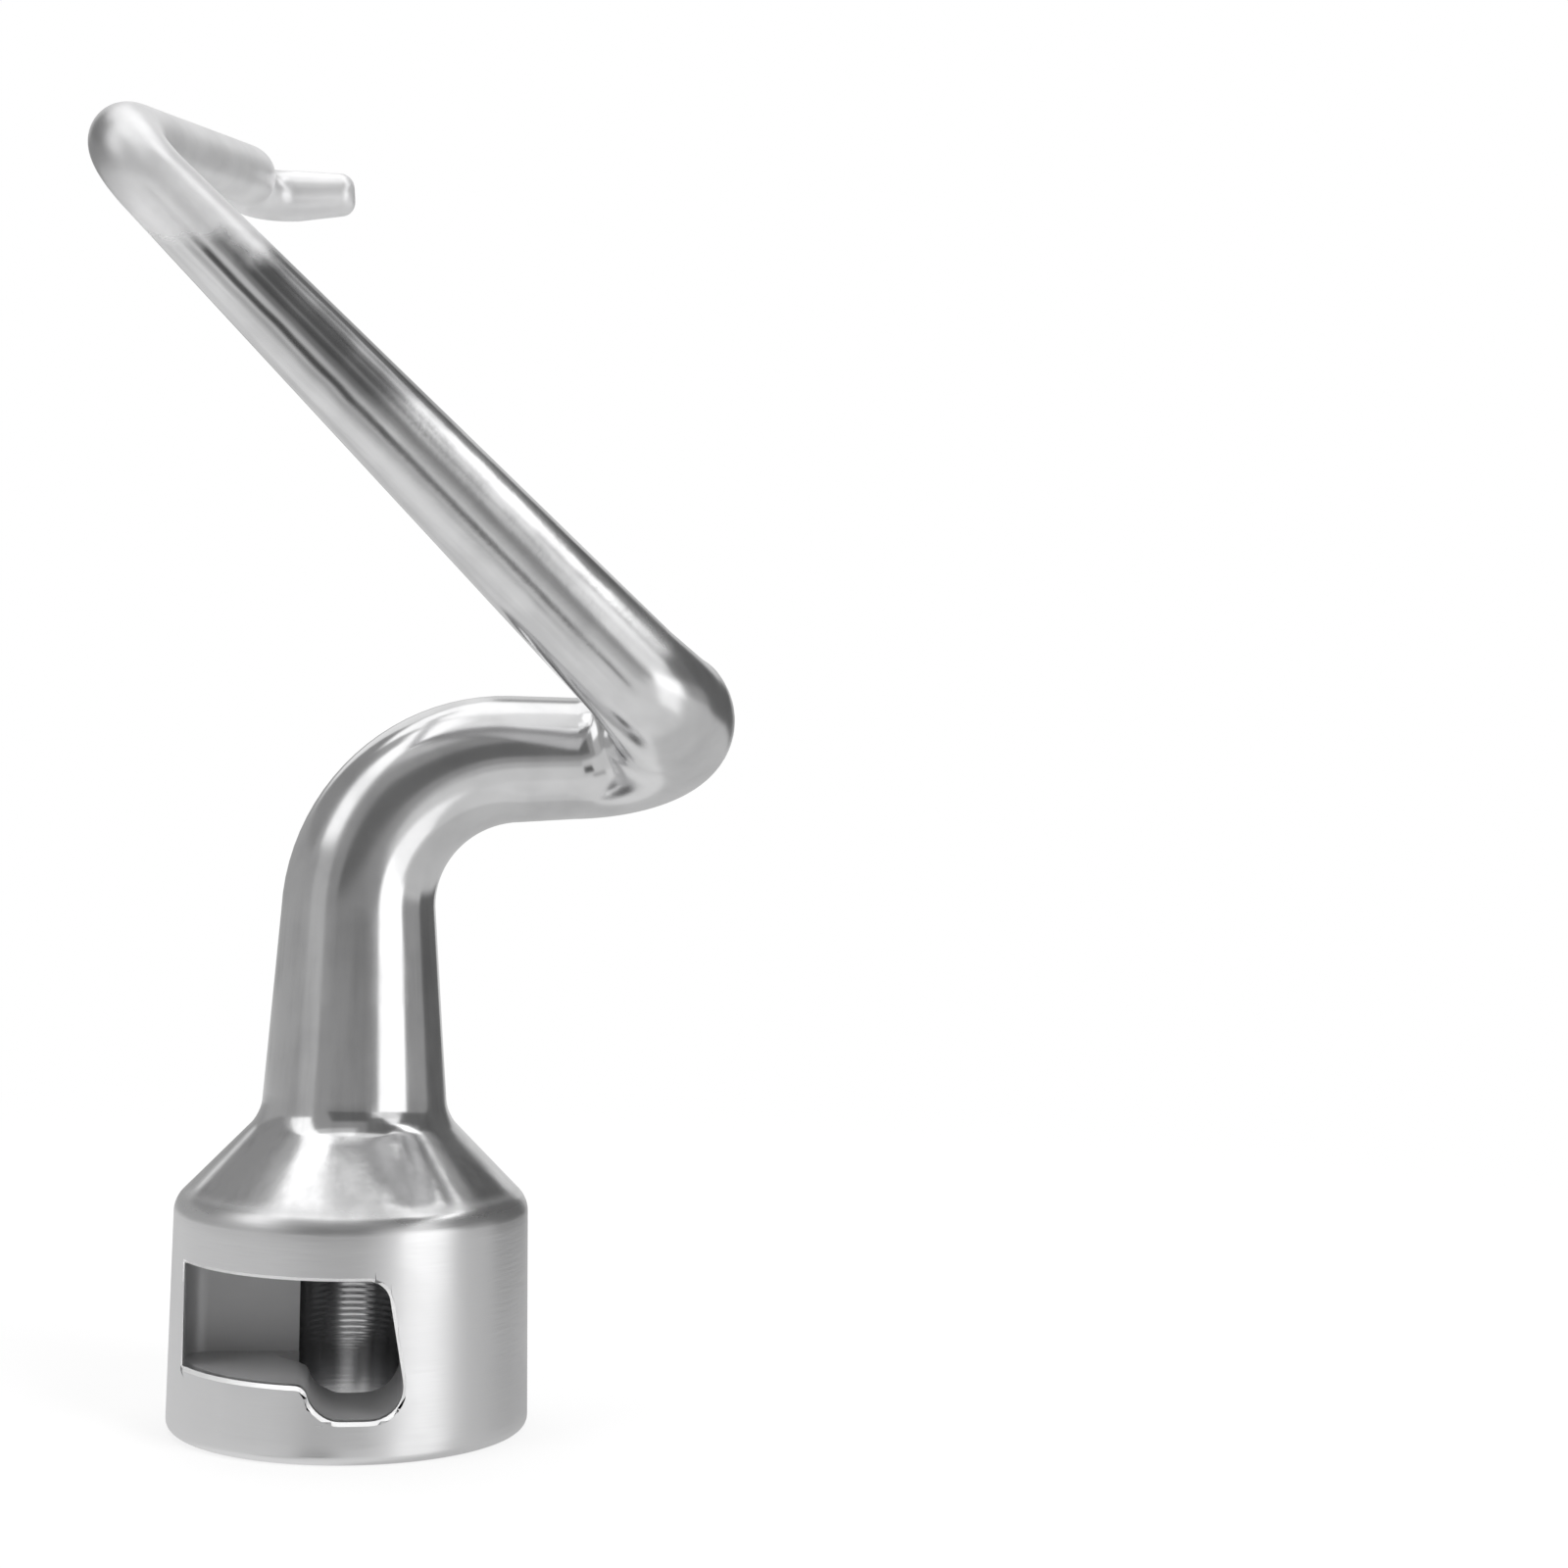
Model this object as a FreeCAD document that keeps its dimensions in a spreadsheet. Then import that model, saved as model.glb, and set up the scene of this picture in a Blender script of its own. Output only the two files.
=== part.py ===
"""Dough hook of a stand mixer: one polished casting.

Millimetres. The origin is the centre of the hub's open mouth, the mouth lies in the XY plane and the
shaft axis is +Z. The front, with the bayonet window, faces -Y.
"""
import FreeCAD
import Part
import Sketcher
import math
import os

Vector = FreeCAD.Vector

# Two places closer than this are the same place.
NEAR = 0.01
# Driving dimensions, in millimetres and degrees.
SIZES = {
    # Hub: a drafted cup, wider at the mouth, with a cone up to the stem and the stem's first stretch.
    "mouth_diameter": 46.0,
    "mouth_chamfer": 1.3,
    "shoulder_diameter": 44.9,
    "shoulder_height": 29.1,
    "shoulder_rounding": 3.2,
    "cone_top_height": 39.9,
    "cone_rounding": 5.0,
    "stem_base_diameter": 23.7,
    "stem_join_height": 48.0,
    "stem_join_diameter": 22.4,
    # Socket for the mixer shaft, bored from the mouth.
    "shaft_diameter": 12.7,
    "shaft_clearance": 0.2,
    "bore_depth": 26.0,
    "bore_chamfer": 0.8,
    # Keyway in the bore that lets the shaft's cross pin in from the mouth.
    "keyway_width": 5.6,
    "keyway_reach": 9.6,
    "keyway_angle": 52.0,
    # Bayonet window: a pocket from the front with a locking notch at its right end.
    "window_back": 1.1,
    "window_wall": 2.5,
    "window_top": 22.4,
    "window_ledge": 9.6,
    "window_right_top": 4.4,
    "window_right_low": 7.4,
    "window_corner": 2.8,
    "notch_left_top": 5.3,
    "notch_left_low": 4.1,
    "notch_bottom": 5.4,
    "notch_corner": 4.1,
    "ledge_corner": 1.4,
    "window_rim_chamfer": 0.5,
    # Arm: corner points of its centre line, each rounded by its bend radius.
    "elbow_z": 85.2,
    "elbow_bend": 19.8,
    "outer_x": 44.8,
    "outer_y": 0.6,
    "outer_z": 86.8,
    "outer_bend": 11.6,
    "front_x": 35.5,
    "front_y": -19.5,
    "front_z": 94.2,
    "front_bend": 8.8,
    "heel_x": -31.3,
    "heel_y": -29.8,
    "heel_z": 158.0,
    "heel_bend": 6.4,
    "tail_x": -16.5,
    "tail_y": 14.4,
    "tail_z": 162.1,
    "tail_bend": 7.0,
    "curl_x": -18.6,
    "curl_y": 25.5,
    "curl_z": 161.0,
    "curl_bend": 6.8,
    "tip_x": -2.6,
    "tip_y": 25.5,
    "tip_z": 162.2,
    # Arm: its diameter where it enters and leaves each bend, and at the tip.
    "elbow_entry_diameter": 19.6,
    "elbow_exit_diameter": 16.4,
    "outer_entry_diameter": 15.8,
    "outer_exit_diameter": 15.8,
    "front_entry_diameter": 15.4,
    "front_exit_diameter": 13.9,
    "heel_entry_diameter": 9.0,
    "heel_exit_diameter": 9.0,
    "tail_entry_diameter": 7.7,
    "tail_exit_diameter": 7.7,
    "curl_entry_diameter": 7.0,
    "curl_exit_diameter": 7.0,
    "tip_diameter": 5.8,
    "tip_rounding": 2.0,
}

doc = FreeCAD.newDocument("DoughHook")
sheet = doc.addObject("Spreadsheet::Sheet", "Sizes")
for row, (word, value) in enumerate(SIZES.items(), start=1):
    sheet.set("A%d" % row, word)
    sheet.set("B%d" % row, str(value))
    sheet.setAlias("B%d" % row, word)
doc.recompute()


def size(word):
    """The sheet's value of one named dimension."""
    return float(sheet.get(word))


def plane_of(body, role):
    """One of the body's own origin planes."""
    return next(item for item in body.Origin.OriginFeatures if item.Role == role)


def new_sketch(body, name, role):
    """An empty sketch on one of the body's origin planes."""
    sketch = body.newObject("Sketcher::SketchObject", name)
    sketch.AttachmentSupport = [(plane_of(body, role), "")]
    sketch.MapMode = "FlatFace"
    return sketch


def amount(measure):
    """How far from the axis a measure reaches: a sheet value times a factor, less another sheet value."""
    word, factor, *less = measure
    return size(word) * abs(factor) - sum(size(wall) for wall in less)


def formula(measure):
    """The same distance, as an expression on the sheet."""
    word, factor, *less = measure
    return "Sizes.%s * %g" % (word, abs(factor)) + "".join(" - Sizes." + wall for wall in less)


def locate(sketch, side, axis, measure):
    """Holds the start of a side on an axis, or at a measure from it, to the left or below if negative."""
    kind = "DistanceX" if axis == "x" else "DistanceY"
    if measure is None:
        sketch.addConstraint(Sketcher.Constraint("PointOnObject", side, 1, -2 if axis == "x" else -1))
        return
    ends = (-1, 1, side, 1) if measure[1] > 0 else (side, 1, -1, 1)
    sketch.addConstraint(Sketcher.Constraint(kind, *ends, amount(measure)))
    name = "%s_%d" % (axis, side)
    sketch.renameConstraint(sketch.ConstraintCount - 1, name)
    sketch.setExpression("Constraints." + name, formula(measure))


def add_corners(sketch, corners):
    """Closed outline of straight sides through corners given as measures across and up."""
    points = []
    for across, up in corners:
        x, y = (math.copysign(amount(m), m[1]) if m else 0 for m in (across, up))
        points.append(Vector(x, y, 0))
    sides = [Part.LineSegment(a, b) for a, b in zip(points, points[1:] + points[:1])]
    sketch.addGeometry(sides, False)
    for side in range(len(sides)):
        following = (side + 1) % len(sides)
        sketch.addConstraint(Sketcher.Constraint("Coincident", side, 2, following, 1))
    for side, (across, up) in enumerate(corners):
        locate(sketch, side, "x", across)
        locate(sketch, side, "y", up)


def round_corner(sketch, side, word):
    """Rounds the corner at the start of a side; the corner point keeps its place in the sketch."""
    sketch.fillet(side, 1, size(word), True, True)
    arcs = [i for i, item in enumerate(sketch.Geometry) if isinstance(item, Part.ArcOfCircle)]
    sketch.addConstraint(Sketcher.Constraint("Radius", arcs[-1], size(word)))
    name = "corner_%d" % side
    sketch.renameConstraint(sketch.ConstraintCount - 1, name)
    sketch.setExpression("Constraints." + name, "Sizes." + word)


def add_dressing(body, kind, name, formula, test):
    """A fillet or chamfer of the body on the edges that pass the test."""
    doc.recompute()
    base = body.Tip
    names = ["Edge%d" % number for number, edge in enumerate(base.Shape.Edges, start=1) if test(edge)]
    if not names:
        raise RuntimeError("no edges found for " + name)
    feature = body.newObject("PartDesign::" + kind, name)
    feature.Base = (base, names)
    feature.setExpression("Size" if kind == "Chamfer" else "Radius", formula)
    doc.recompute()
    return feature


def circle_at(diameter, height):
    """Test for a full circle round the shaft axis, of this diameter and at this height."""
    def test(edge):
        if not isinstance(edge.Curve, Part.Circle) or not edge.Closed:
            return False
        same_size = abs(edge.Curve.Radius - diameter / 2) < NEAR
        return same_size and abs(edge.Curve.Center.z - height) < NEAR
    return test


def straight_through(x, y, z):
    """Test for a straight edge whose ends both lie at the places that are given, None being any."""
    def test(edge):
        ends = [vertex.Point for vertex in edge.Vertexes]
        if len(ends) != 2 or not isinstance(edge.Curve, Part.Line):
            return False
        for place, values in ((x, [p.x for p in ends]), (y, [p.y for p in ends]), (z, [p.z for p in ends])):
            if place is not None and any(abs(value - place) > NEAR for value in values):
                return False
        return True
    return test


def where_window_opens(edge):
    """Test for the edges where the bayonet window comes out through the hub's side."""
    def on_the_side(point):
        height = point.z / size("shoulder_height")
        draft = (size("shoulder_diameter") - size("mouth_diameter")) / 2
        return abs(math.hypot(point.x, point.y) - size("mouth_diameter") / 2 - draft * height) < NEAR
    middle = edge.valueAt((edge.FirstParameter + edge.LastParameter) / 2)
    inside = size("notch_bottom") - NEAR < middle.z < size("window_top") + NEAR
    return inside and middle.y < 0 and on_the_side(middle) and all(on_the_side(v.Point) for v in edge.Vertexes)


def round_the_tip(edge):
    """Test for the rim of the arm's flat tip."""
    return edge.Closed and edge.BoundBox.Center.distanceToPoint(corner_of("tip")) < NEAR


def check_removed(body, volume_before):
    """Stops if the body's last feature took nothing away."""
    if body.Tip.Shape.Volume > volume_before - 1:
        raise RuntimeError(body.Tip.Label + " cuts nothing")


def corner_of(place):
    """The corner point of the arm's centre line at a bend, or its tip."""
    return Vector(size(place + "_x"), size(place + "_y"), size(place + "_z"))


def facing(point, direction):
    """A placement at a point, with Z along a direction."""
    return FreeCAD.Placement(point, FreeCAD.Rotation(Vector(0, 0, 1), direction))


def add_run(place, start, direction, length, entry, leaving):
    """A straight run of the arm, round and tapering from one named diameter to another."""
    run = doc.addObject("Part::Cone", place + "_run")
    run.setExpression("Radius1", "Sizes.%s / 2" % entry)
    run.setExpression("Radius2", "Sizes.%s / 2" % leaving)
    run.Height = length
    run.Placement = facing(start, direction)
    return run


def add_even_bend(place, turn, placement):
    """A bend of the arm with the same diameter all along."""
    bend = doc.addObject("Part::Torus", place + "_bend")
    bend.setExpression("Radius1", "Sizes.%s_bend" % place)
    bend.setExpression("Radius2", "Sizes.%s_entry_diameter / 2" % place)
    bend.Angle3 = turn
    bend.Placement = placement
    return bend


def add_tapered_bend(place, turn, placement, entry, leaving):
    """A bend swept from a circle where the arm enters it to a smaller one where it leaves."""
    line = doc.addObject("Part::Circle", place + "_line")
    line.setExpression("Radius", "Sizes.%s_bend" % place)
    line.Angle2 = turn
    line.Placement = placement
    sections = []
    for word, section_placement in (("entry", entry), ("exit", leaving)):
        section = doc.addObject("Part::Circle", "%s_%s" % (place, word))
        section.setExpression("Radius", "Sizes.%s_%s_diameter / 2" % (place, word))
        section.Placement = section_placement
        sections.append(section)
    bend = doc.addObject("Part::Sweep", place + "_bend")
    bend.Sections = sections
    bend.Spine = (line, ["Edge1"])
    bend.Solid = True
    bend.Frenet = True
    return bend


def build_arm():
    """The runs and bends of the arm, from the hub's stem to the tip, as a list of solids."""
    places = ["elbow", "outer", "front", "heel", "tail", "curl"]
    elbow = Vector(0, 0, size("elbow_z"))
    start = Vector(0, 0, size("stem_join_height"))
    corners = [start, elbow] + [corner_of(place) for place in places[1:] + ["tip"]]
    diameter = "stem_join_diameter"
    solids = []
    for place, before, corner, after in zip(places, corners, corners[1:], corners[2:]):
        inward = (corner - before).normalize()
        outward = (after - corner).normalize()
        turn = inward.getAngle(outward)
        reach = size(place + "_bend") * math.tan(turn / 2)
        bend_start = corner - inward * reach
        bend_end = corner + outward * reach
        straight = (bend_start - start).dot(inward)
        if straight < NEAR:
            raise RuntimeError("no room for the bend at " + place)
        entry = place + "_entry_diameter"
        solids.append(add_run(place, start, inward, straight, diameter, entry))
        diameter = place + "_exit_diameter"
        hinge = inward.cross(outward).normalize()
        to_centre = hinge.cross(inward)
        turned = FreeCAD.Rotation(to_centre * -1, inward, hinge, "ZXY")
        placement = FreeCAD.Placement(bend_start + to_centre * size(place + "_bend"), turned)
        degrees = math.degrees(turn)
        if size(entry) == size(diameter):
            solids.append(add_even_bend(place, degrees, placement))
        else:
            ends = (facing(bend_start, inward), facing(bend_end, outward))
            solids.append(add_tapered_bend(place, degrees, placement, *ends))
        start = bend_end
    solids.append(add_run("tip", start, outward, start.distanceToPoint(corners[-1]), diameter, "tip_diameter"))
    return solids


# Arm: the stem and the spiral, one tapering round bar of straight runs and tangent bends.
arm = doc.addObject("Part::MultiFuse", "Arm")
arm.Shapes = build_arm()
arm.Label = "arm"
doc.recompute()

# Hub: the drafted cup and its cone, turned about the shaft axis, in one casting with the arm.
hook = doc.addObject("PartDesign::Body", "DoughHook")
hook.Label = "dough_hook"
hook.BaseFeature = arm
doc.recompute()
profile = new_sketch(hook, "HubProfile", "XZ_Plane")
add_corners(profile, [
    (None, None),
    (("mouth_diameter", 0.5), None),
    (("shoulder_diameter", 0.5), ("shoulder_height", 1)),
    (("stem_base_diameter", 0.5), ("cone_top_height", 1)),
    (("stem_join_diameter", 0.5), ("stem_join_height", 1)),
    (None, ("stem_join_height", 1)),
])
round_corner(profile, 2, "shoulder_rounding")
round_corner(profile, 3, "cone_rounding")
turned = hook.newObject("PartDesign::Revolution", "HubTurned")
turned.Profile = profile
turned.ReferenceAxis = (profile, ["V_Axis"])
turned.Angle = 360
doc.recompute()
add_dressing(hook, "Chamfer", "MouthChamfer", "Sizes.mouth_chamfer", circle_at(size("mouth_diameter"), 0))
add_dressing(hook, "Fillet", "TipRounding", "Sizes.tip_rounding", round_the_tip)

# Socket: a blind bore for the mixer's shaft, milled flat at its end and chamfered at the mouth.
bore_diameter = size("shaft_diameter") + size("shaft_clearance")
bore_circle = new_sketch(hook, "BoreCircle", "XY_Plane")
bore_circle.addGeometry(Part.Circle(Vector(0, 0, 0), Vector(0, 0, 1), bore_diameter / 2), False)
bore_circle.addConstraint(Sketcher.Constraint("Coincident", 0, 3, -1, 1))
bore_circle.addConstraint(Sketcher.Constraint("Diameter", 0, bore_diameter))
bore_circle.renameConstraint(1, "bore")
bore_circle.setExpression("Constraints.bore", "Sizes.shaft_diameter + Sizes.shaft_clearance")
doc.recompute()
volume = hook.Tip.Shape.Volume
bore = hook.newObject("PartDesign::Hole", "Bore")
bore.Profile = bore_circle
bore.DepthType = "Dimension"
bore.DrillPoint = "Flat"
bore.Reversed = True
bore.setExpression("Diameter", "Sizes.shaft_diameter + Sizes.shaft_clearance")
bore.setExpression("Depth", "Sizes.bore_depth")
doc.recompute()
check_removed(hook, volume)
add_dressing(hook, "Chamfer", "BoreChamfer", "Sizes.bore_chamfer", circle_at(bore_diameter, 0))

# Bayonet window: a pocket cut in from the front, with the notch that the cross pin locks in.
window_left = ("mouth_diameter", -0.5, "window_wall")
window_outline = new_sketch(hook, "WindowOutline", "XZ_Plane")
window_outline.setExpression("AttachmentOffset.Base.z", "Sizes.window_back")
add_corners(window_outline, [
    (window_left, ("window_ledge", 1)),
    (("notch_left_top", -1), ("window_ledge", 1)),
    (("notch_left_low", -1), ("notch_bottom", 1)),
    (("window_right_low", 1), ("notch_bottom", 1)),
    (("window_right_top", 1), ("window_top", 1)),
    (window_left, ("window_top", 1)),
])
round_corner(window_outline, 1, "ledge_corner")
round_corner(window_outline, 2, "notch_corner")
round_corner(window_outline, 3, "notch_corner")
round_corner(window_outline, 4, "window_corner")
doc.recompute()
volume = hook.Tip.Shape.Volume
window = hook.newObject("PartDesign::Pocket", "Window")
window.Profile = window_outline
window.Type = "ThroughAll"
window.Reversed = True
doc.recompute()
check_removed(hook, volume)
add_dressing(hook, "Fillet", "WindowBackCorner", "Sizes.window_corner",
             straight_through(-amount(window_left), -size("window_back"), None))
add_dressing(hook, "Chamfer", "WindowRim", "Sizes.window_rim_chamfer", where_window_opens)

# Keyway: a slot beside the bore, from the mouth up into the window, for the shaft's cross pin.
keyway_outline = new_sketch(hook, "KeywayOutline", "XY_Plane")
keyway_outline.AttachmentOffset = FreeCAD.Placement(Vector(0, 0, 0), Vector(0, 0, 1), -size("keyway_angle"))
keyway_outline.setExpression("AttachmentOffset.Rotation.Angle", "-Sizes.keyway_angle")
add_corners(keyway_outline, [
    (("keyway_width", -0.5), None),
    (("keyway_width", -0.5), ("keyway_reach", -1)),
    (("keyway_width", 0.5), ("keyway_reach", -1)),
    (("keyway_width", 0.5), None),
])
doc.recompute()
volume = hook.Tip.Shape.Volume
keyway = hook.newObject("PartDesign::Pocket", "Keyway")
keyway.Profile = keyway_outline
keyway.Reversed = True
keyway.setExpression("Length", "(Sizes.window_ledge + Sizes.window_top) / 2")
doc.recompute()
check_removed(hook, volume)

doc.recompute()
for item in doc.Objects:
    if "Invalid" in item.State or "Error" in item.State:
        raise RuntimeError(item.Label + " failed")
if hook.Shape.isNull() or not hook.Shape.isValid() or len(hook.Shape.Solids) != 1:
    raise RuntimeError("the hook is not one valid solid")
os.makedirs("parts", exist_ok=True)
hook.Shape.exportStep("parts/%s.step" % hook.Label)
print(hook.Label, "volume", round(hook.Shape.Volume), "faces", len(hook.Shape.Faces))
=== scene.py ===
import math

import bmesh
import bpy
from mathutils import Matrix, Vector


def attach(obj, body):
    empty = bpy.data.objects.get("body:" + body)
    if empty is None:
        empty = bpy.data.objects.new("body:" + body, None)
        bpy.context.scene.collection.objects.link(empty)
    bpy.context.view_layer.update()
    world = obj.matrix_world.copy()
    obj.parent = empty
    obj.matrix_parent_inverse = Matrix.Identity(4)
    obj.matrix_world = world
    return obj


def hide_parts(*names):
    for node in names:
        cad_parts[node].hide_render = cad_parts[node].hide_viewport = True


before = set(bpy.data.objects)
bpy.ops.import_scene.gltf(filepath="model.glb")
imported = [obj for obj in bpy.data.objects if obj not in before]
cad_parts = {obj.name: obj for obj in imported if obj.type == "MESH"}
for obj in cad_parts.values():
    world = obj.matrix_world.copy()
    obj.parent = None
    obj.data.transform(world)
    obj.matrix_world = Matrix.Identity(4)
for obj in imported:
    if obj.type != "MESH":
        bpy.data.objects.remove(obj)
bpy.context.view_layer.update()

# The camera stands in front of the bayonet window, a little less than 400 mm from the hub and about as high
# as the arm's first bend. It is turned to the right, so that the hook is left of the picture's middle.

CAMERA_DISTANCE = 0.3873
CAMERA_RISE = math.radians(13.24)
CAMERA_YAW = math.radians(8.26)
CAMERA_PITCH = math.radians(-0.79)
CAMERA_ROLL = math.radians(1.36)
CAMERA_LENS = 66.8

camera_data = bpy.data.cameras.new("camera")
camera_data.lens = CAMERA_LENS
camera = bpy.data.objects.new("camera", camera_data)
bpy.context.scene.collection.objects.link(camera)
forward = Vector((
    math.sin(CAMERA_YAW) * math.cos(CAMERA_PITCH),
    math.cos(CAMERA_YAW) * math.cos(CAMERA_PITCH),
    math.sin(CAMERA_PITCH),
))
level_right = Vector((math.cos(CAMERA_YAW), -math.sin(CAMERA_YAW), 0))
level_up = level_right.cross(forward)
image_right = level_right * math.cos(CAMERA_ROLL) + level_up * math.sin(CAMERA_ROLL)
image_up = level_up * math.cos(CAMERA_ROLL) - level_right * math.sin(CAMERA_ROLL)
eye = Vector((0, -CAMERA_DISTANCE * math.cos(CAMERA_RISE), CAMERA_DISTANCE * math.sin(CAMERA_RISE)))
facing = Matrix((image_right, image_up, -forward)).transposed().to_4x4()
camera.matrix_world = Matrix.Translation(eye) @ facing
bpy.context.scene.camera = camera


# The casting's shape: a hub turned about the shaft axis, and an arm drawn out of the hub's stem along
# its bends. It is one piece of metal, so it is one mesh, with the window and the keyway cut out of it.
# Lengths are millimetres until the mesh is finished.

MM = 0.001
ROUND_STEPS = 144
RUN_STEP = 1.4
BEND_STEP = math.radians(4)
TIP_STEPS = 7
CORNER_STEPS = 6
WELD_GAP = 0.0001

BORE_RADIUS = 6.45
BORE_DEPTH = 26.0
BORE_CHAMFER = 0.8
MOUTH_RADIUS = 23.0
MOUTH_ROUNDING = 1.3
SHOULDER_RADIUS = 22.45
SHOULDER_HEIGHT = 29.1
SHOULDER_ROUNDING = 3.2
STEM_BASE_RADIUS = 11.85
STEM_BASE_HEIGHT = 39.9
CONE_ROUNDING = 5.0
STEM_JOIN_RADIUS = 11.2
STEM_JOIN_HEIGHT = 48.0

# Bends of the arm: corner point, bend radius, diameter where the arm enters and where it leaves.
ARM_BENDS = [
    ((0, 0, 85.2), 19.8, 19.6, 16.4),
    ((44.8, 0.6, 86.8), 11.6, 15.76, 15.76),
    ((35.5, -19.5, 94.2), 8.8, 15.4, 13.9),
    ((-31.3, -29.8, 158.0), 6.4, 8.96, 8.8),
    ((-16.5, 14.4, 162.1), 7.0, 7.66, 7.5),
    ((-18.6, 25.5, 161.0), 6.8, 6.96, 6.8),
]
ARM_TIP = (-2.6, 25.5, 162.2)
TIP_DIAMETER = 5.8
TIP_ROUNDING = 2.0


def mesh_object(name, shape):
    """Ends a bmesh in millimetres as a mesh object in metres."""
    bmesh.ops.scale(shape, vec=(MM, MM, MM), verts=shape.verts)
    mesh = bpy.data.meshes.new(name)
    shape.to_mesh(mesh)
    shape.free()
    piece = bpy.data.objects.new(name, mesh)
    bpy.context.scene.collection.objects.link(piece)
    return piece


def draw_line(shape, points):
    """Joins points by edges, and returns the vertices."""
    corners = [shape.verts.new(point) for point in points]
    for before, after in zip(corners, corners[1:]):
        shape.edges.new((before, after))
    return corners


def round_corner(shape, corner, radius, steps=CORNER_STEPS):
    """Rounds one corner of an outline with an arc of this radius."""
    ends = [edge.other_vert(corner).co for edge in corner.link_edges]
    turn = math.pi - (ends[0] - corner.co).angle(ends[1] - corner.co)
    bmesh.ops.bevel(shape, geom=[corner], offset=radius * math.tan(turn / 2), offset_type="OFFSET",
                    segments=steps, profile=0.5, affect="VERTICES", material=-1)


def arm_stations():
    """Places along the arm as (point, heading, radius), from the stem to where the tip is rounded."""
    places = []
    start = Vector((0, 0, STEM_JOIN_HEIGHT))
    radius = STEM_JOIN_RADIUS
    corners = [start] + [Vector(bend[0]) for bend in ARM_BENDS] + [Vector(ARM_TIP)]

    def add_run(begin, end, first, last):
        heading = (end - begin).normalized()
        steps = math.ceil((end - begin).length / RUN_STEP)
        for step in range(1, steps + 1):
            share = step / steps
            places.append((begin.lerp(end, share), heading, first + (last - first) * share))

    for bend, before, corner, after in zip(ARM_BENDS, corners, corners[1:], corners[2:]):
        inward = (corner - before).normalized()
        outward = (after - corner).normalized()
        turn = inward.angle(outward)
        reach = bend[1] * math.tan(turn / 2)
        entry = corner - inward * reach
        add_run(start, entry, radius, bend[2] / 2)
        hinge = inward.cross(outward).normalized()
        centre = entry + hinge.cross(inward) * bend[1]
        steps = math.ceil(turn / BEND_STEP)
        for step in range(1, steps + 1):
            swing = Matrix.Rotation(turn * step / steps, 3, hinge)
            thickness = bend[2] + (bend[3] - bend[2]) * step / steps
            places.append((centre + swing @ (entry - centre), swing @ inward, thickness / 2))
        start = corner + outward * reach
        radius = bend[3] / 2
    shoulder = corners[-1] - outward * TIP_ROUNDING
    add_run(start, shoulder, radius, TIP_DIAMETER / 2)
    for step in range(1, TIP_STEPS + 1):
        angle = math.pi / 2 * step / TIP_STEPS
        point = shoulder + outward * (TIP_ROUNDING * math.sin(angle))
        places.append((point, outward, TIP_DIAMETER / 2 - TIP_ROUNDING * (1 - math.cos(angle))))
    return places


def draw_out(shape, ring, before, after):
    """Extrudes a ring of edges from one station of the arm to the next, and returns the new ring."""
    drawn = bmesh.ops.extrude_edge_only(shape, edges=ring)["geom"]
    fresh = {part for part in drawn if isinstance(part, bmesh.types.BMVert)}
    swing = before[1].rotation_difference(after[1]).to_matrix().to_4x4()
    resize = Matrix.Scale(after[2] / before[2], 4)
    place = Matrix.Translation(after[0]) @ swing @ resize @ Matrix.Translation(-before[0])
    bmesh.ops.transform(shape, matrix=place, verts=list(fresh))
    return [part for part in drawn if isinstance(part, bmesh.types.BMEdge) and fresh.issuperset(part.verts)]


casting_shape = bmesh.new()
hub_line = draw_line(casting_shape, [
    (0, 0, BORE_DEPTH),
    (BORE_RADIUS, 0, BORE_DEPTH),
    (BORE_RADIUS, 0, BORE_CHAMFER),
    (BORE_RADIUS + BORE_CHAMFER, 0, 0),
    (MOUTH_RADIUS, 0, 0),
    (SHOULDER_RADIUS, 0, SHOULDER_HEIGHT),
    (STEM_BASE_RADIUS, 0, STEM_BASE_HEIGHT),
    (STEM_JOIN_RADIUS, 0, STEM_JOIN_HEIGHT),
])
round_corner(casting_shape, hub_line[4], MOUTH_ROUNDING)
round_corner(casting_shape, hub_line[5], SHOULDER_ROUNDING)
round_corner(casting_shape, hub_line[6], CONE_ROUNDING)
long_edges = [edge for edge in casting_shape.edges if edge.calc_length() > 2 * RUN_STEP]
for edge in long_edges:
    bmesh.ops.subdivide_edges(casting_shape, edges=[edge], cuts=int(edge.calc_length() / RUN_STEP))
bmesh.ops.spin(casting_shape, geom=casting_shape.verts[:] + casting_shape.edges[:], cent=(0, 0, 0),
               axis=(0, 0, 1), angle=math.tau, steps=ROUND_STEPS, use_merge=True)
bmesh.ops.remove_doubles(casting_shape, verts=casting_shape.verts, dist=WELD_GAP)
rim = [edge for edge in casting_shape.edges if edge.is_boundary]
station = (Vector((0, 0, STEM_JOIN_HEIGHT)), Vector((0, 0, 1)), STEM_JOIN_RADIUS)
for following in arm_stations():
    rim = draw_out(casting_shape, rim, station, following)
    station = following
bmesh.ops.contextual_create(casting_shape, geom=rim)
bmesh.ops.recalc_face_normals(casting_shape, faces=casting_shape.faces)
casting = mesh_object("hook_casting", casting_shape)


# The bayonet window is milled into the hub's front: a flat-backed pocket that the shaft's cross pin
# turns in, with a notch at its right end that the pin drops into. A keyway lets the pin in at the mouth.

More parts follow.
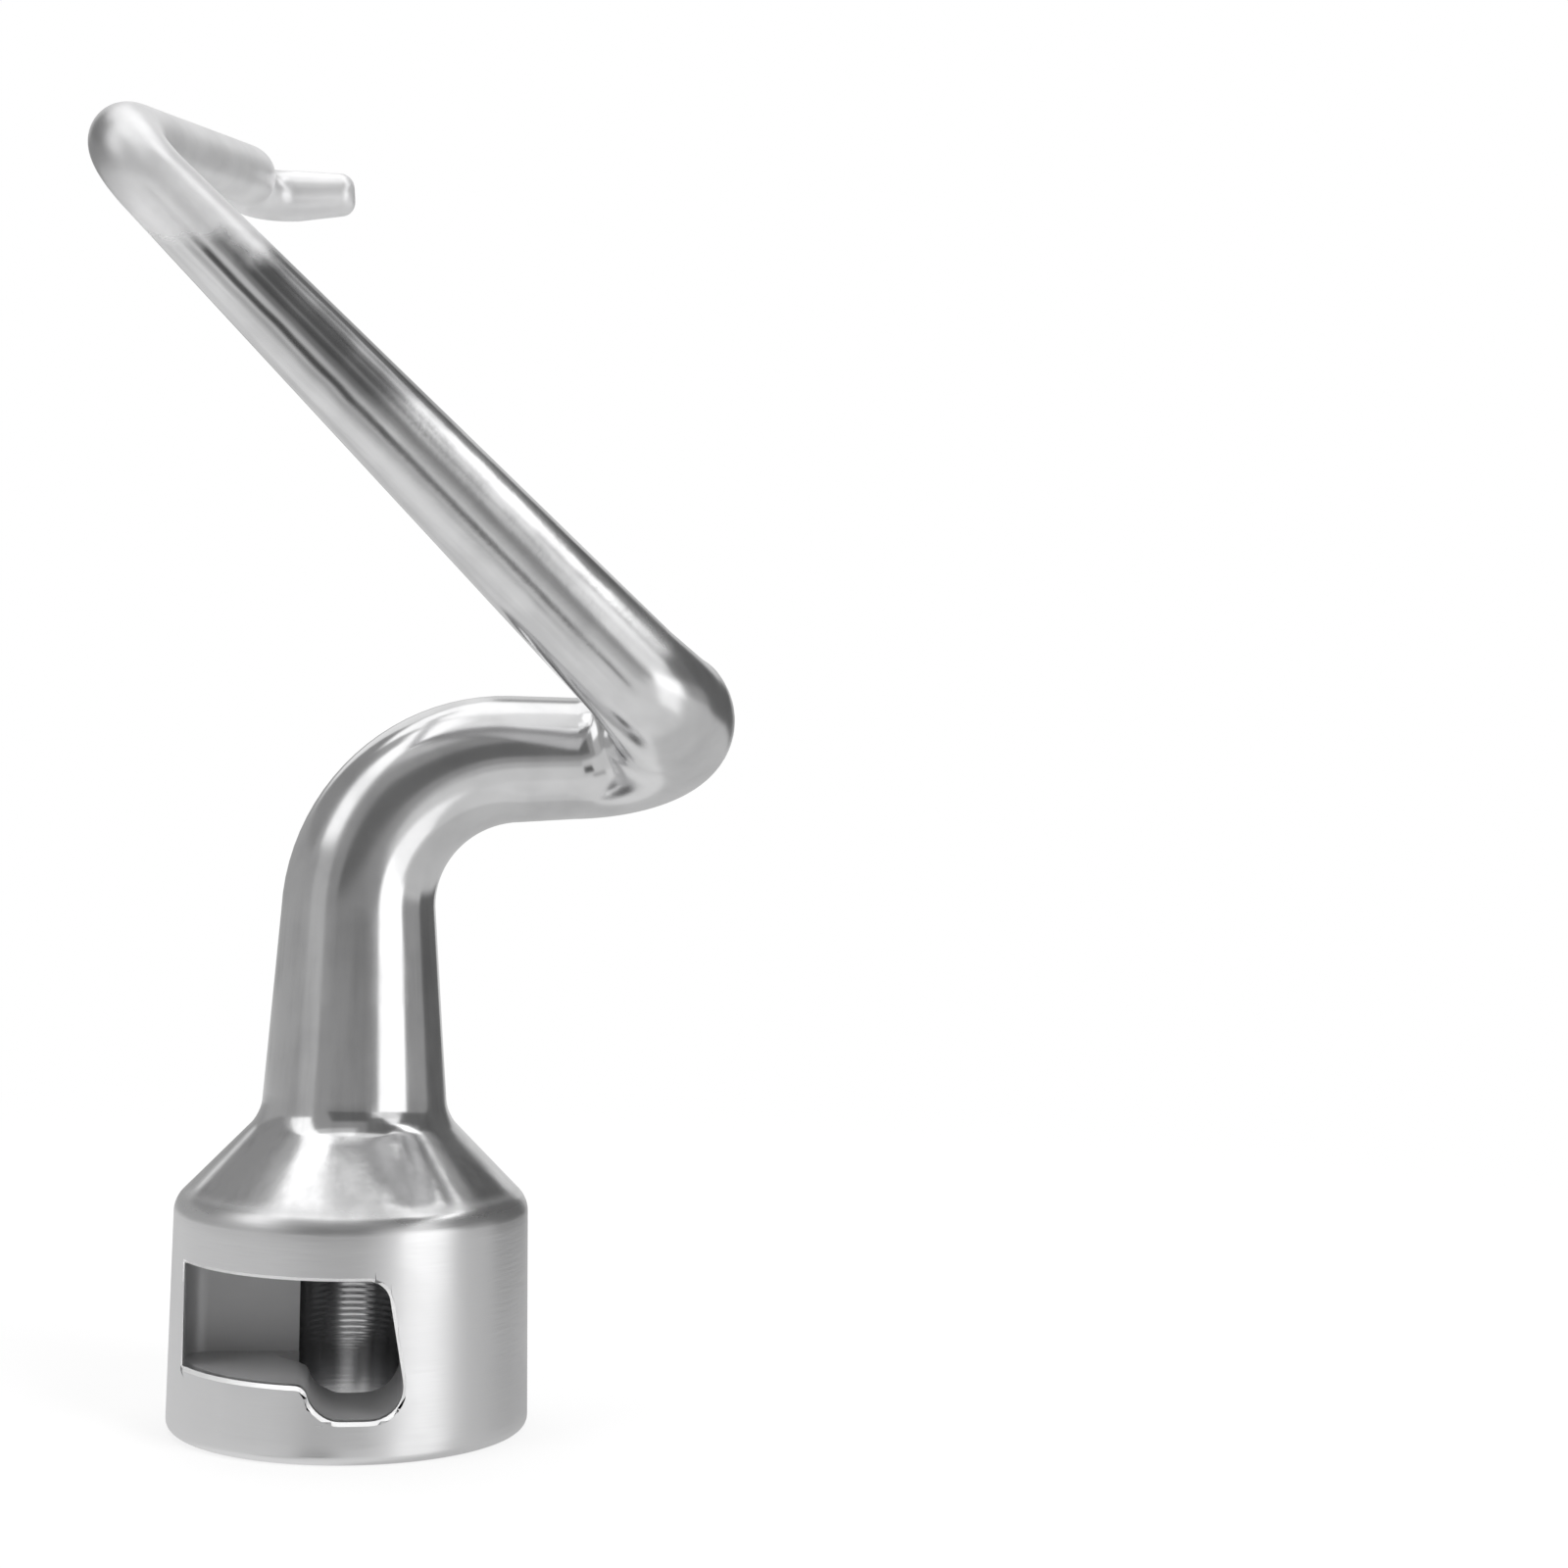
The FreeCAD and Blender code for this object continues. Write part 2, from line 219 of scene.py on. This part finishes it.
WINDOW_BACK = 1.1
WINDOW_LEFT = 20.5
WINDOW_TOP = 22.4
WINDOW_LEDGE = 9.6
WINDOW_RIGHT_TOP = 4.4
WINDOW_RIGHT_LOW = 7.4
WINDOW_CORNER = 2.8
NOTCH_LEFT_TOP = 5.3
NOTCH_LEFT_LOW = 4.1
NOTCH_BOTTOM = 5.4
NOTCH_CORNER = 4.1
LEDGE_CORNER = 1.4
KEYWAY_WIDTH = 5.6
KEYWAY_REACH = 9.6
KEYWAY_ANGLE = math.radians(52)
CUTTER_REACH = 30
NOTCH_STEPS = 10
WINDOW_STEPS = 8
SAME_PLACE = 0.01

# The window's rim is broken by a narrow chamfer that catches the light. Its edges are known by their angle
# and by how near they are to the hub's side and the window's height.
RIM_CHAMFER = 0.45
RIM_ANGLE = math.radians(30)
RIM_DEPTH = 0.2
RIM_MARGIN = 0.5
SLIVER = 0.005
SHARP_ANGLE = math.radians(35)

window_shape = bmesh.new()
outline = draw_line(window_shape, [
    (-WINDOW_LEFT, -WINDOW_BACK, WINDOW_LEDGE),
    (-NOTCH_LEFT_TOP, -WINDOW_BACK, WINDOW_LEDGE),
    (-NOTCH_LEFT_LOW, -WINDOW_BACK, NOTCH_BOTTOM),
    (WINDOW_RIGHT_LOW, -WINDOW_BACK, NOTCH_BOTTOM),
    (WINDOW_RIGHT_TOP, -WINDOW_BACK, WINDOW_TOP),
    (-WINDOW_LEFT, -WINDOW_BACK, WINDOW_TOP),
])
window_shape.edges.new((outline[-1], outline[0]))
round_corner(window_shape, outline[1], LEDGE_CORNER)
round_corner(window_shape, outline[2], NOTCH_CORNER, steps=NOTCH_STEPS)
round_corner(window_shape, outline[3], NOTCH_CORNER, steps=NOTCH_STEPS)
round_corner(window_shape, outline[4], WINDOW_CORNER, steps=WINDOW_STEPS)
bmesh.ops.contextual_create(window_shape, geom=window_shape.edges[:])
drawn = bmesh.ops.extrude_face_region(window_shape, geom=window_shape.faces[:] + window_shape.edges[:])
front = [part for part in drawn["geom"] if isinstance(part, bmesh.types.BMVert)]
bmesh.ops.translate(window_shape, vec=(0, -CUTTER_REACH, 0), verts=front)
back_corner = [
    edge for edge in window_shape.edges
    if all(abs(end.co.x + WINDOW_LEFT) < SAME_PLACE for end in edge.verts)
    and all(abs(end.co.y + WINDOW_BACK) < SAME_PLACE for end in edge.verts)
]
bmesh.ops.bevel(window_shape, geom=back_corner, offset=WINDOW_CORNER, offset_type="OFFSET",
                segments=CORNER_STEPS, profile=0.5, affect="EDGES", material=-1)
bmesh.ops.recalc_face_normals(window_shape, faces=window_shape.faces)
window_cutter = mesh_object("window_cutter", window_shape)

keyway_shape = bmesh.new()
bmesh.ops.create_cube(keyway_shape, size=1)
keyway_height = (WINDOW_LEDGE + WINDOW_TOP) / 2
bmesh.ops.scale(keyway_shape, vec=(KEYWAY_WIDTH, KEYWAY_REACH, 2 * keyway_height), verts=keyway_shape.verts)
bmesh.ops.translate(keyway_shape, vec=(0, -KEYWAY_REACH / 2, 0), verts=keyway_shape.verts)
bmesh.ops.rotate(keyway_shape, cent=(0, 0, 0), matrix=Matrix.Rotation(-KEYWAY_ANGLE, 3, "Z"),
                 verts=keyway_shape.verts)
keyway_cutter = mesh_object("keyway_cutter", keyway_shape)

for cutter in (window_cutter, keyway_cutter):
    cut = casting.modifiers.new(cutter.name, "BOOLEAN")
    cut.operation = "DIFFERENCE"
    cut.solver = "EXACT"
    cut.object = cutter
bpy.context.view_layer.update()
cut_mesh = bpy.data.meshes.new_from_object(casting.evaluated_get(bpy.context.evaluated_depsgraph_get()))
casting.modifiers.clear()
casting.data = cut_mesh
for cutter in (window_cutter, keyway_cutter):
    bpy.data.objects.remove(cutter)


def on_window_rim(edge):
    """Whether an edge is a sharp one where the window comes out through the hub's side."""
    if len(edge.link_faces) != 2 or edge.calc_face_angle() < RIM_ANGLE:
        return False
    low = NOTCH_BOTTOM - RIM_MARGIN
    high = WINDOW_TOP + RIM_MARGIN
    outside = all(math.hypot(end.co.x, end.co.y) > SHOULDER_RADIUS - RIM_DEPTH for end in edge.verts)
    return outside and all(low < end.co.z < high for end in edge.verts)


worn_shape = bmesh.new()
worn_shape.from_mesh(cut_mesh)
bmesh.ops.scale(worn_shape, vec=(1 / MM, 1 / MM, 1 / MM), verts=worn_shape.verts)
bmesh.ops.remove_doubles(worn_shape, verts=worn_shape.verts, dist=SLIVER)
rim_edges = [edge for edge in worn_shape.edges if on_window_rim(edge)]
chamfer = bmesh.ops.bevel(worn_shape, geom=rim_edges, offset=RIM_CHAMFER, offset_type="OFFSET", segments=1,
                          profile=0.5, affect="EDGES", clamp_overlap=False, material=-1)
rim_mark = worn_shape.loops.layers.float.new("rim")
for face in chamfer["faces"]:
    for corner in face.loops:
        corner[rim_mark] = 1.0
bmesh.ops.scale(worn_shape, vec=(MM, MM, MM), verts=worn_shape.verts)
worn_shape.to_mesh(cut_mesh)
worn_shape.free()
cut_mesh.shade_smooth()
cut_mesh.set_sharp_from_angle(angle=SHARP_ANGLE)
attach(casting, "root")
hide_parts("dough_hook")


# The finish: bright metal, polished by hand to a slightly wavy mirror, and matt past the heel. A dark
# reflection is painted on the bar below the heel, and the heel's left tip is painted darker. The hub
# is turned and left satin. The window's cut faces are rougher and painted darker as shade; the bored socket
# is rougher and painted dark as shade, with one strip painted bright as a highlight. The rim's chamfer is
# painted near white as a highlight.

METAL_COLOUR = (0.84, 0.84, 0.845)
DULL_COLOUR = (0.68, 0.68, 0.685)
CUT_AND_SHADE_COLOUR = (0.49, 0.49, 0.495)
DARK_REFLECTION_COLOUR = (0.33, 0.33, 0.335)
BORE_SHADE_COLOUR = (0.29, 0.29, 0.295)
RIM_HIGHLIGHT_COLOUR = (0.98, 0.98, 0.98)
DARK_REFLECTION_STRENGTH = 0.9
HEEL_TIP_SHADE_STRENGTH = 0.75

# Between which two places one finish or painted shade gives way to another, in metres.
HUB_TOP = (0.0285, 0.0315)
STEM_TOP = (0.058, 0.076)
ELBOW_TOP = (0.088, 0.105)
BEND_SIDE = (0.029, 0.036)
DARK_REFLECTION_FOOT = (0.1275, 0.1340)
DARK_REFLECTION_SIDE = (0.0850, 0.0894)
HEEL_FOOT = (0.1465, 0.1515)
HEEL_TIP = (-0.0335, -0.0260)
POCKET_MOUTH = (0.0209, 0.0216)
POCKET_FOOT = (0.0003, 0.0012)
BORE_WALL = (0.00642, 0.00652)
BORE_END = (0.0264, 0.0268)
BAR_LEAN = math.radians(46.3)

# The turned rings in the bore, and the strip of its wall that is painted bright as a highlight, in metres.
RING_PITCH = 0.00080
RINGS_FOOT = (0.0070, 0.0130)
LIT_STRIP_PLACE = 0.0004
LIT_STRIP_WIDTH = (0.0011, 0.0026)

# How fine each kind of mark is, in noise cells per metre, and from which level of noise it shows.
RAGGED_SCALE = 150.0
RAGGED_REACH = 0.008
WAVE_SCALE = 36.0
RIPPLE_SCALE = 130.0
MOTTLE_SCALE = 900.0
SMUDGE_SCALE = 130.0
MATTED_SCALE = 60.0
MATTED_LEVEL = (0.48, 0.62)
DULLED_LEVEL = (0.40, 0.66)
TURNING_SCALES = (200.0, 200.0, 2600.0)
UPRIGHT_SCALES = (330.0, 330.0, 14.0)
ALONG_SCALES = (330.0, 330.0, 18.0)

# How rough the arm is, and what each finish adds to that. The bore's wall has a roughness of its own.
ARM_ROUGHNESS = 0.11
STREAK_ROUGHNESS = 0.06
SMUDGE_ROUGHNESS = 0.12
TURNING_ROUGHNESS = 0.08
SATIN_ROUGHNESS = 0.12
HEEL_ROUGHNESS = 0.16
BEND_ROUGHNESS = 0.09
POCKET_ROUGHNESS = 0.15
BORE_ROUGHNESS = 0.16

# How much of its metal sheen each finish loses.
CUT_LOSS = 0.45
HEEL_LOSS = 0.40
RIM_LOSS = 0.5

# How deep each tool's marks are, in metres.
WAVE_DEPTH = 0.0002
BAR_WAVE_DEPTH = 0.0001
RIPPLE_DEPTH = 0.00009
STREAK_DEPTH = 0.000022
MOTTLE_DEPTH = 0.000012
TURNING_DEPTH = 0.000012
RING_DEPTH = 0.00002
LIT_STRIP_RING_DEPTH = 0.00005


class Wire:
    """A shader socket that numbers and other sockets can be added to, multiplied by and so on."""

    def __init__(self, nodes, socket):
        self.nodes = nodes
        self.socket = socket

    def math(self, operation, *others):
        return self.nodes.make("ShaderNodeMath", {"operation": operation}, self, *others)

    def twin(self, output):
        """Another output of the same node."""
        return Wire(self.nodes, self.socket.node.outputs[output])

    def __add__(self, other):
        return self.math("ADD", other)

    def __sub__(self, other):
        return self.math("SUBTRACT", other)

    def __mul__(self, other):
        return self.math("MULTIPLY", other)

    def __rsub__(self, other):
        return self.nodes.make("ShaderNodeMath", {"operation": "SUBTRACT"}, other, self)

    __radd__ = __add__
    __rmul__ = __mul__


class Finish:
    """The nodes of a material, or of the studio's background, written as expressions."""

    def __init__(self, owner):
        owner.use_nodes = True
        self.tree = owner.node_tree
        self.tree.nodes.clear()

    def make(self, kind, settings, *values, output=0, **named):
        """A node of this kind with its settings made and its sockets filled; returns one output."""
        node = self.tree.nodes.new(kind)
        for setting, value in settings.items():
            setattr(node, setting, value)
        named = {key.replace("_", " "): value for key, value in named.items()}
        for key, value in list(enumerate(values)) + list(named.items()):
            socket = node.inputs[key]
            if isinstance(value, Wire):
                self.tree.links.new(value.socket, socket)
            elif value is not None:
                socket.default_value = value
        return Wire(self, node.outputs[output]) if node.outputs else None

    def step(self, value, begin, end):
        """A smooth rise from 0 to 1 while value goes from begin to end."""
        settings = {"interpolation_type": "SMOOTHSTEP"}
        return self.make("ShaderNodeMapRange", settings, value, begin, end, 0.0, 1.0)

    def noise(self, place, scale, detail=2.0, roughness=0.5):
        return self.make("ShaderNodeTexNoise", {}, Vector=place, Scale=scale, Detail=detail,
                         Roughness=roughness)

    def brushed(self, place, scales):
        """Noise that is drawn out along an axis, as polishing leaves it."""
        return self.noise(self.make("ShaderNodeMapping", {}, place, None, None, scales), 1.0, 3.0)

    def mix(self, factor, first, second):
        """A number between two others."""
        return first + (second - first) * factor

    def blend(self, factor, first, second):
        """A colour between two others."""
        sockets = [factor] + [None] * 5 + [first, second]
        return self.make("ShaderNodeMix", {"data_type": "RGBA"}, *sockets, output=2)


metal_material = bpy.data.materials.new("polished metal")
metal = Finish(metal_material)
place = metal.make("ShaderNodeTexCoord", {}, output="Object")
across = metal.make("ShaderNodeSeparateXYZ", {}, place, output="X")
depth = across.twin("Y")
height = across.twin("Z")
radius = (across * across + depth * depth).math("SQRT")
bar_side = across * math.sin(BAR_LEAN) + height * math.cos(BAR_LEAN)
ragged = height + metal.noise(place, RAGGED_SCALE, 3.0) * RAGGED_REACH

on_hub = 1 - metal.step(height, *HUB_TOP)
on_stem = 1 - metal.step(height, *STEM_TOP)
above_elbow = metal.step(height, *ELBOW_TOP)
at_bend = metal.step(across, *BEND_SIDE)
past_heel = metal.step(ragged, *HEEL_FOOT)
# The heel's left tip keeps its metal sheen and is painted darker, standing in for a dimmer reflection.
shaded_heel_tip = past_heel * (1 - metal.step(across, *HEEL_TIP))
# Where a dark reflection is painted on the bar below the heel, as dark colour on the metal.
painted_dark_reflection = metal.step(ragged, *DARK_REFLECTION_FOOT) * (1 - past_heel) * metal.step(bar_side, *DARK_REFLECTION_SIDE)
in_pocket = on_hub * (1 - metal.step(radius, *POCKET_MOUTH)) * metal.step(height, *POCKET_FOOT)
in_bore = (1 - metal.step(radius, *BORE_WALL)) * (1 - metal.step(height, *BORE_END))
on_rim = metal.make("ShaderNodeAttribute", {"attribute_name": "rim"}, output="Fac")

waves = metal.noise(place, WAVE_SCALE, 1.0)
ripples = metal.noise(place, RIPPLE_SCALE, 1.0)
mottle = metal.noise(place, MOTTLE_SCALE, 3.0, 0.7)
matted = metal.step(metal.noise(place, MATTED_SCALE, 3.0), *MATTED_LEVEL)
smudges = metal.noise(place, SMUDGE_SCALE, 3.0)
turning = metal.brushed(place, TURNING_SCALES)
upright = metal.brushed(place, UPRIGHT_SCALES)
leaned = metal.make("ShaderNodeVectorRotate", {"rotation_type": "Y_AXIS"}, place, Angle=BAR_LEAN)
along = metal.brushed(leaned, ALONG_SCALES)
streaks = 0.5 + (upright - 0.5) * on_stem + (along - 0.5) * above_elbow * (1 - past_heel)

# The bore's turned rings fade out towards the mouth; one strip of its wall is painted bright as a
# highlight.
rings = (height * (math.tau / RING_PITCH)).math("SINE") * in_bore * metal.step(height, *RINGS_FOOT)
lit_strip = 1 - metal.step((across - LIT_STRIP_PLACE).math("ABSOLUTE"), *LIT_STRIP_WIDTH)

roughness = ARM_ROUGHNESS + STREAK_ROUGHNESS * streaks + SMUDGE_ROUGHNESS * smudges * matted
roughness = roughness + past_heel * HEEL_ROUGHNESS + at_bend * BEND_ROUGHNESS
roughness = roughness + on_hub * (SATIN_ROUGHNESS + TURNING_ROUGHNESS * turning)
roughness = metal.mix(in_bore, roughness + in_pocket * POCKET_ROUGHNESS, BORE_ROUGHNESS)

hand_polish = WAVE_DEPTH * waves + STREAK_DEPTH * streaks
hand_polish = hand_polish + above_elbow * (BAR_WAVE_DEPTH * waves + RIPPLE_DEPTH * ripples)
relief = (hand_polish + MOTTLE_DEPTH * mottle * matted * above_elbow) * (1 - on_hub)
relief = relief + TURNING_DEPTH * turning * on_hub + rings * (RING_DEPTH + LIT_STRIP_RING_DEPTH * lit_strip)
normal = metal.make("ShaderNodeBump", {}, Strength=1.0, Distance=1.0, Height=relief)

dulled = (1 - on_hub) * metal.step(streaks * 0.6 + smudges * 0.4, *DULLED_LEVEL)
colour = metal.blend(dulled, (*METAL_COLOUR, 1), (*DULL_COLOUR, 1))
# The bar below the heel is painted darker, standing in for a dark reflection.
colour = metal.blend(painted_dark_reflection * DARK_REFLECTION_STRENGTH, colour, (*DARK_REFLECTION_COLOUR, 1))
# The heel's left tip is painted darker as a dim reflection.
colour = metal.blend(shaded_heel_tip * HEEL_TIP_SHADE_STRENGTH, colour, (*CUT_AND_SHADE_COLOUR, 1))
# The window's pocket is painted darker as shade in the recess, on top of its matte milled finish.
colour = metal.blend(in_pocket, colour, (*CUT_AND_SHADE_COLOUR, 1))
# The bore is painted dark as shade.
colour = metal.blend(in_bore, colour, (*BORE_SHADE_COLOUR, 1))
# A strip of the bore's far wall is painted bright as a highlight.
colour = metal.blend(in_bore * lit_strip, colour, (*METAL_COLOUR, 1))
# The rim's chamfer is painted near white, as a highlight line.
colour = metal.blend(on_rim, colour, (*RIM_HIGHLIGHT_COLOUR, 1))

cut_face = (in_pocket - in_bore).math("MAXIMUM", 0.0) * (1 - on_rim)
metalness = 1 - cut_face * CUT_LOSS - (past_heel - shaded_heel_tip) * HEEL_LOSS - on_rim * RIM_LOSS
shader = metal.make("ShaderNodeBsdfPrincipled", {}, Base_Color=colour, Metallic=metalness,
                    Roughness=roughness, Normal=normal)
metal.make("ShaderNodeOutputMaterial", {}, shader)
cut_mesh.materials.clear()
cut_mesh.materials.append(metal_material)


# The floor is a pale sweep that the hook stands on. It fades into the white background away from the
# hook, and keeps the hook's shadow close by.

FLOOR_SIZE = 6.0
FLOOR_COLOUR = (0.92, 0.92, 0.92)
NEAR_LIFT = 0.75
FADE = (0.08, 0.35)

floor_shape = bmesh.new()
bmesh.ops.create_grid(floor_shape, x_segments=1, y_segments=1, size=FLOOR_SIZE / 2 / MM)
floor = mesh_object("floor", floor_shape)
paper_material = bpy.data.materials.new("paper")
paper = Finish(paper_material)
ground = paper.make("ShaderNodeTexCoord", {}, output="Object")
distance = paper.make("ShaderNodeVectorMath", {"operation": "LENGTH"}, ground, output="Value")
seen = paper.make("ShaderNodeLightPath", {}, output="Is Camera Ray")
lift = seen * (NEAR_LIFT + (1 - NEAR_LIFT) * paper.step(distance, *FADE))
paper_light = paper.make("ShaderNodeEmission", {}, Color=(1, 1, 1, 1), Strength=1.0)
paper_face = paper.make("ShaderNodeBsdfDiffuse", {}, Color=(*FLOOR_COLOUR, 1))
sweep = paper.make("ShaderNodeMixShader", {}, lift, paper_face, paper_light)
paper.make("ShaderNodeOutputMaterial", {}, sweep)
floor.data.materials.append(paper_material)
floor.visible_glossy = False


# The studio: a white background all round, a dome that only the metal mirrors, and three soft lamps.
# The background lights the hook softly, and is plain white where it is seen.

FILL_LIGHT = 0.55

world = bpy.data.worlds.new("studio")
bpy.context.scene.world = world
sky = Finish(world)
seen = sky.make("ShaderNodeLightPath", {}, output="Is Camera Ray")
fill_light = sky.make("ShaderNodeBackground", {}, Strength=FILL_LIGHT)
white = sky.make("ShaderNodeBackground", {}, Color=(1, 1, 1, 1), Strength=1.0)
sky.make("ShaderNodeOutputWorld", {}, sky.make("ShaderNodeMixShader", {}, seen, fill_light, white))

# What the metal mirrors: a grid bent round into a wide dome, on which the room is laid out in patches.
# Each patch has its left and right side at the bottom and again at the top, in degrees round from the
# camera, its lower and upper end in degrees above the horizon, and a brightness. Later ones lie over
# earlier ones, and all have soft edges.
PATCHES = [
    (-220, -64, -220, -64, -120, -34, 0.76),
    (-64, 30, -64, 30, -120, -38, 0.72),
    (64, 220, 64, 220, -120, -6, 0.54),
    (-64, -28, -64, -28, -39, -32, 0.42),
    (-4, 17, -4, 17, -14, 1, 0.47),
    (-220, -72, -220, -88, -4, 61, 0.37),
    (-150, -96, -150, -100, 18, 50, 0.27),
    (-72, 30, -88, 60, -4, 61, 0.30),
    (-34, 14, -30, 26, 6, 33, 0.14),
    (14, 36, 20, 60, 12, 61, 0.18),
    (-34, -8, -30, -7, -28, -16, 0.07),
    (22, 34, 22, 44, 4, 23, 0.50),
    (28, 120, 44, 130, 37, 61, 0.15),
    (60, 104, 60, 90, -4, 61, 0.32),
    (62, 106, 62, 100, 11, 35, 0.16),
    (104, 156, 88, 140, -8, 61, 0.13),
    (104, 200, 104, 200, 40, 52, 0.32),
    (-76, -50, -78, -52, -6, 24, 0.47),
    (-84, -56, -98, -60, 22, 64, 1.25),
    (-56, 4, -56, 4, 48, 64, 0.56),
    (30, 58, 30, 60, -32, -8, 1.12),
    (30, 67, 30, 67, -8, 9, 1.50),
    (22, 50, 34, 60, 9, 24, 0.90),
    (36, 58, 48, 58, 24, 36, 1.15),
    (51, 66, 81, 120, 36, 48, 2.00),
    (-220, 220, -220, 220, 62, 120, 0.85),
    (-60, 2, -60, 2, 60, 71, 1.20),
    (-112, -56, -112, -40, 61, 79, 1.45),
    (60, 106, 60, 106, 53, 78, 1.40),
    (-220, -150, -220, -150, 14, 46, 0.85),
    (-220, -124, -220, -124, 48, 98, 1.25),
    (124, 220, 124, 220, 54, 98, 1.20),
]
TABLE_LEVEL = 0.66
BRIGHTEST = 2.0
SOFT_EDGE = 2.6
DOME_RADIUS = 8.0
DOME_AROUND = 300
DOME_UP = 150


def soft_step(value, edge):
    """0 well below an edge, 1 well above it."""
    share = min(max((value - edge) / (2 * SOFT_EDGE) + 0.5, 0.0), 1.0)
    return share * share * (3 - 2 * share)


def room_light(turn, rise):
    """How bright the room is in one direction, given in degrees."""
    light = TABLE_LEVEL
    for left, right, top_left, top_right, low, top, level in PATCHES:
        share = (rise - low) / (top - low)
        inside = soft_step(turn, left + share * (top_left - left))
        inside *= 1 - soft_step(turn, right + share * (top_right - right))
        inside *= soft_step(rise, low) * (1 - soft_step(rise, top))
        light += (level - light) * inside
    return light


dome_shape = bmesh.new()
glow = dome_shape.verts.layers.float.new("glow")
bmesh.ops.create_grid(dome_shape, x_segments=DOME_AROUND, y_segments=DOME_UP, size=0.5)
for spot in dome_shape.verts:
    turn = math.tau * spot.co.x
    rise = math.pi * spot.co.y
    spot[glow] = room_light(math.degrees(turn), math.degrees(rise)) / BRIGHTEST
    level_out = DOME_RADIUS / MM * math.cos(rise)
    spot.co = (level_out * math.sin(turn), -level_out * math.cos(turn), DOME_RADIUS / MM * math.sin(rise))
dome = mesh_object("dome", dome_shape)
room_material = bpy.data.materials.new("room")
room = Finish(room_material)
share = room.make("ShaderNodeAttribute", {"attribute_name": "glow"}, output="Fac")
dark = room.make("ShaderNodeEmission", {}, Color=(0, 0, 0, 1), Strength=0.0)
bright = room.make("ShaderNodeEmission", {}, Color=(1, 1, 1, 1), Strength=BRIGHTEST)
room.make("ShaderNodeOutputMaterial", {}, room.make("ShaderNodeMixShader", {}, share, dark, bright))
dome.data.materials.append(room_material)
dome.visible_camera = False
dome.visible_diffuse = False
dome.visible_transmission = False
dome.visible_shadow = False

# Soft lamps: place and size in metres, and power in watts. Each one faces the middle of the hook.
LAMPS = [
    ((0.9, -0.9, 1.0), 0.7, 14),
    ((-1.2, -0.7, 1.1), 0.9, 9),
    ((0.0, 0.4, 1.6), 1.2, 12),
]
HOOK_MIDDLE = Vector((0, 0, 0.08))

for number, (spot, size, power) in enumerate(LAMPS, start=1):
    lamp_data = bpy.data.lights.new("lamp_%d" % number, "AREA")
    lamp_data.size = size
    lamp_data.energy = power
    lamp = bpy.data.objects.new("lamp_%d" % number, lamp_data)
    bpy.context.scene.collection.objects.link(lamp)
    lamp.visible_glossy = False
    lamp.location = spot
    lamp.rotation_euler = (HOOK_MIDDLE - Vector(spot)).to_track_quat("-Z", "Y").to_euler()

bpy.context.scene.view_settings.view_transform = "Standard"
